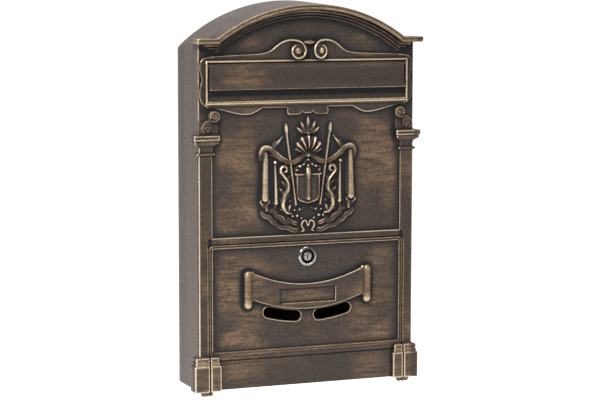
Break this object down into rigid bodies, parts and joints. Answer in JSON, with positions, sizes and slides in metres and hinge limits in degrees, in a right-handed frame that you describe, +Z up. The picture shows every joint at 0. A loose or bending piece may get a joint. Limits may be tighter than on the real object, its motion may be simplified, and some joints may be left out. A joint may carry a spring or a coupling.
{
  "type": "wall mounted mailbox",
  "caption": "Cast aluminium wall mailbox with arched roof, letter flap, bottom-hinged lockable front door with viewing slots and a screwed back plate.",
  "frame": {"origin": "centre of the four wall holes, on the rear face of the back plate", "axes": "+Z up, +X right as seen from the front, +Y towards the wall"},
  "size_m": [0.2606, 0.0815, 0.4185],
  "materials": {
    "cast_bronze": "antique bronze paint rubbed to gold on the raised edges",
    "plate_bronze": "plain dark bronze paint",
    "steel_pin": "satin steel",
    "zinc_screw": "zinc plated",
    "lock_chrome": "polished nickel chrome",
    "lock_brass": "stamped brass",
    "lock_steel": "zinc plated stamping"
  },
  "bodies": {
    "box": {"casing": "cast_bronze", "back_plate": "plate_bronze", "back_plate_screws": "zinc_screw", "door_hinge_pin_left": "steel_pin", "door_hinge_pin_right": "steel_pin", "slot_flap_rod": "steel_pin"},
    "front_door": {"door": "cast_bronze", "lock_housing": "lock_chrome", "lock_nut": "lock_steel"},
    "letter_flap": {"slot_flap": "cast_bronze"},
    "lock_core": {"lock_plug": "lock_chrome", "lock_wafers": "lock_brass", "lock_stop_washer": "lock_steel", "lock_cam": "lock_steel", "lock_cam_washer": "lock_steel", "lock_cam_screw": "lock_steel"}
  },
  "joints": [
    {"name": "door_hinge", "type": "hinge", "parent": "box", "child": "front_door", "pos_m": [0, -0.064, -0.201], "axis": [1, 0, 0], "range_deg": [0, 95]},
    {"name": "flap_hinge", "type": "hinge", "parent": "box", "child": "letter_flap", "pos_m": [0, -0.0679, 0.1463], "axis": [-1, 0, 0], "range_deg": [0, 70]},
    {"name": "lock_turn", "type": "hinge", "parent": "front_door", "child": "lock_core", "pos_m": [0, -0.0655, -0.0602], "axis": [0, -1, 0], "range_deg": [0, 90]}
  ]
}
